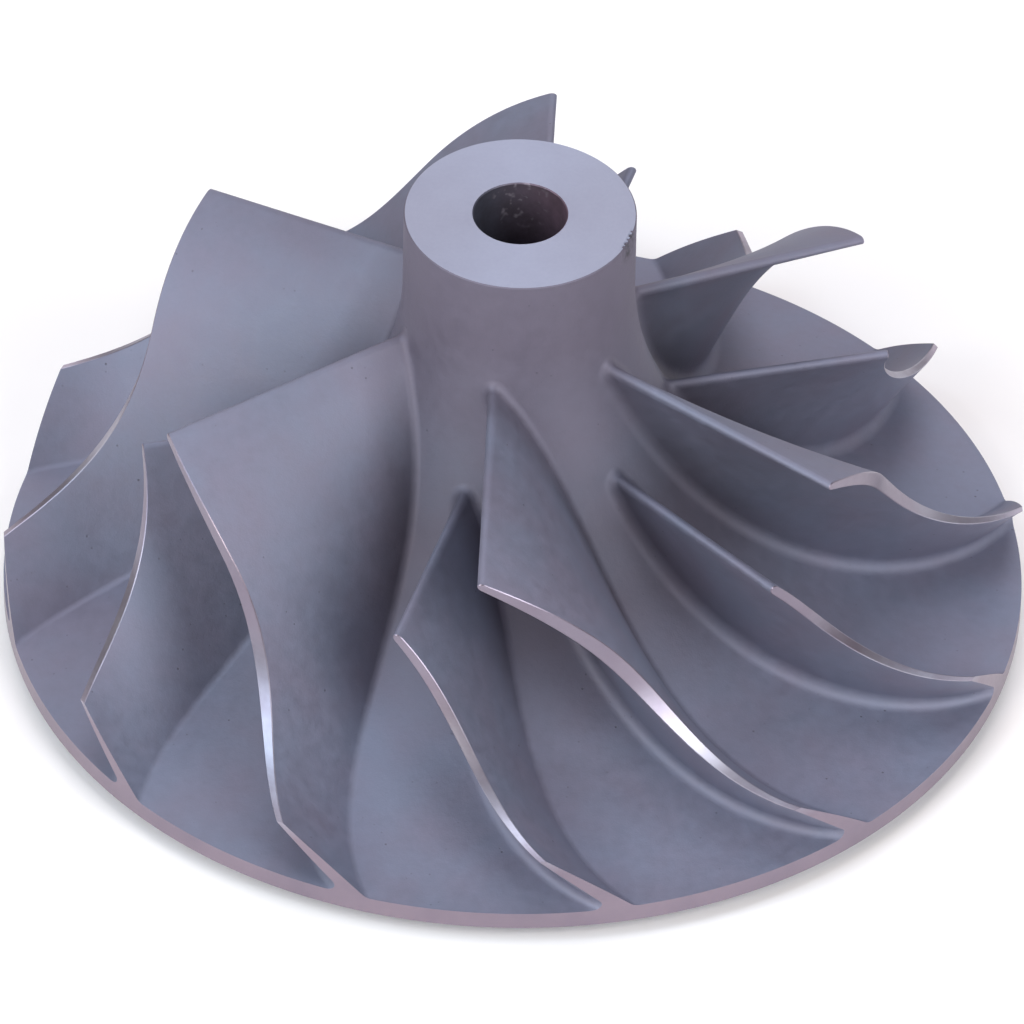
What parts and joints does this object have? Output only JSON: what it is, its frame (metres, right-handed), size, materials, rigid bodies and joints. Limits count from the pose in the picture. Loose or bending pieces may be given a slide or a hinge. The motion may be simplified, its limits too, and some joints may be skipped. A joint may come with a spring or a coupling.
{
  "type": "compressor wheel",
  "caption": "Centrifugal compressor wheel: a bored hub flares into a full back disc and carries swept full and splitter blades, machined along their outer edges.",
  "frame": {"origin": "centre of the pad under the back disc, where the axis meets the face the wheel stands on", "axes": "+Z along the wheel's axis, from the back disc to the nose; +X and +Y square to it"},
  "size_m": [0.07, 0.07, 0.0349],
  "materials": {
    "cast_aluminium": "fine cast, satin",
    "machined_aluminium": "turned, semi-bright"
  },
  "bodies": {
    "root": {"compressor_wheel": "cast_aluminium"}
  },
  "joints": []
}
